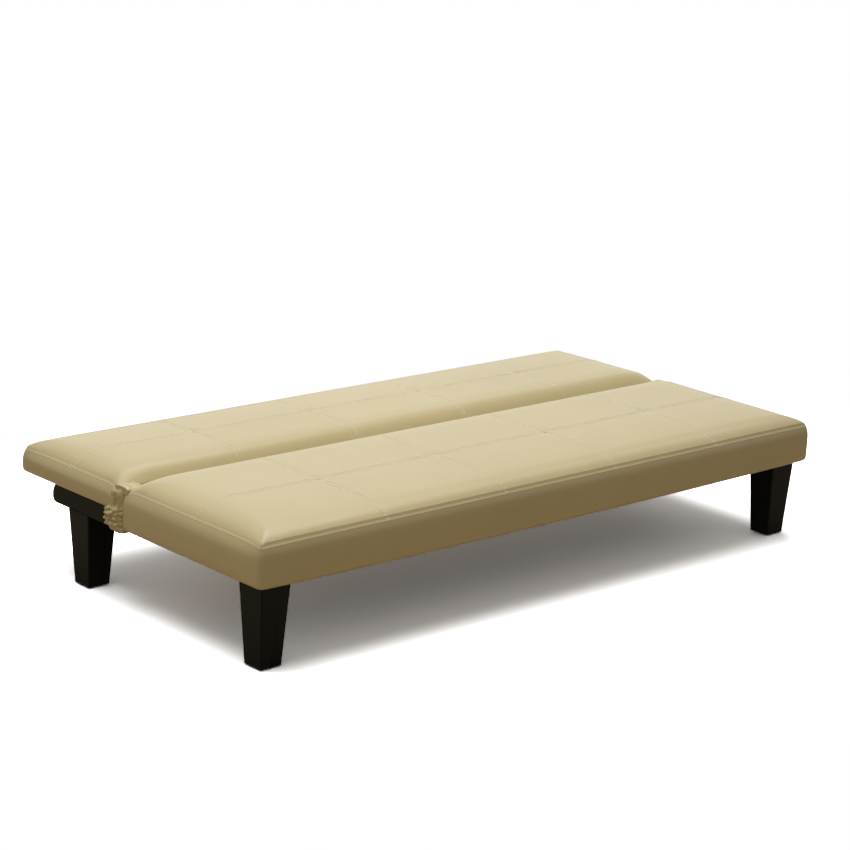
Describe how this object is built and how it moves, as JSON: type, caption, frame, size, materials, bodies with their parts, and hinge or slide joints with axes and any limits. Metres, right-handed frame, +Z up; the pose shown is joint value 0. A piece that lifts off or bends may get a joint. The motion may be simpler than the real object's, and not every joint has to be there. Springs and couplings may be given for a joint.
{
  "type": "click clack sofa bed",
  "caption": "Low upholstered sofa bed, laid flat: a seat pad on tapered legs and a back pad on side bars, joined by ratchet hinges that raise the back.",
  "frame": {"origin": "on the floor under the middle of the bed, with the back laid flat", "axes": "+X along the bed to its right-hand end, seen from the front; the seat's long front edge faces -Y and the back's long edge +Y; +Z up"},
  "size_m": [1.68, 0.864, 0.317],
  "materials": {
    "leathercloth": "satin",
    "foam": "matte",
    "lining_cloth": "matte",
    "frame_wood": "matte",
    "plywood": "matte",
    "black_wood": "satin",
    "black_plastic": "matte",
    "zinc_steel": "satin",
    "hinge_steel": "satin",
    "spring_steel": "satin"
  },
  "bodies": {
    "base": {"seat_cover": "leathercloth", "seat_foam": "foam", "seat_deck_board": "plywood", "seat_dust_cloth": "lining_cloth", "seat_front_rail": "frame_wood", "seat_rear_rail": "frame_wood", "seat_left_rail": "frame_wood", "seat_right_rail": "frame_wood", "seat_left_slat": "frame_wood", "seat_right_slat": "frame_wood", "front_left_corner_block": "frame_wood", "front_right_corner_block": "frame_wood", "left_support_bar": "black_wood", "right_support_bar": "black_wood", "left_front_bar_bolt": "zinc_steel", "left_rear_bar_bolt": "zinc_steel", "right_front_bar_bolt": "zinc_steel", "right_rear_bar_bolt": "zinc_steel", "front_left_leg": "black_wood", "front_right_leg": "black_wood", "rear_left_leg": "black_wood", "rear_right_leg": "black_wood", "front_left_glide": "black_plastic", "front_right_glide": "black_plastic", "rear_left_glide": "black_plastic", "rear_right_glide": "black_plastic", "front_left_leg_bolt": "zinc_steel", "front_right_leg_bolt": "zinc_steel", "rear_left_leg_bolt": "zinc_steel", "rear_right_leg_bolt": "zinc_steel", "left_seat_plate": "hinge_steel", "right_seat_plate": "hinge_steel", "left_cheek": "hinge_steel", "right_cheek": "hinge_steel", "left_pivot_pin": "hinge_steel", "right_pivot_pin": "hinge_steel", "left_leaf_spring": "spring_steel", "right_leaf_spring": "spring_steel", "left_hinge_gather": "leathercloth", "right_hinge_gather": "leathercloth", "joining_strip": "leathercloth"},
    "back": {"back_cover": "leathercloth", "back_foam": "foam", "back_deck_board": "plywood", "back_lining": "lining_cloth", "back_outer_rail": "frame_wood", "back_inner_rail": "frame_wood", "back_left_rail": "frame_wood", "back_right_rail": "frame_wood", "back_left_slat": "frame_wood", "back_right_slat": "frame_wood", "left_back_plate": "hinge_steel", "right_back_plate": "hinge_steel", "left_ratchet_disc": "hinge_steel", "right_ratchet_disc": "hinge_steel"},
    "left_pawl": {"left_pawl": "spring_steel"},
    "right_pawl": {"right_pawl": "spring_steel"}
  },
  "joints": [
    {"name": "back_fold", "type": "hinge", "parent": "base", "child": "back", "pos_m": [0, 0.051, 0.262], "axis": [1, 0, 0], "range_deg": [0, 80], "deforming": ["left_hinge_gather", "right_hinge_gather", "joining_strip"]},
    {"name": "left_pawl_catch", "type": "hinge", "parent": "base", "child": "left_pawl", "pos_m": [-0.8098, 0.01837, 0.24679], "axis": [1, 0, 0], "range_deg": [0, 12], "stiffness_Nm_per_rad": 0.4, "springref_deg": -5.73},
    {"name": "right_pawl_catch", "type": "hinge", "parent": "base", "child": "right_pawl", "pos_m": [0.8098, 0.01837, 0.24679], "axis": [1, 0, 0], "range_deg": [0, 12], "stiffness_Nm_per_rad": 0.4, "springref_deg": -5.73}
  ]
}
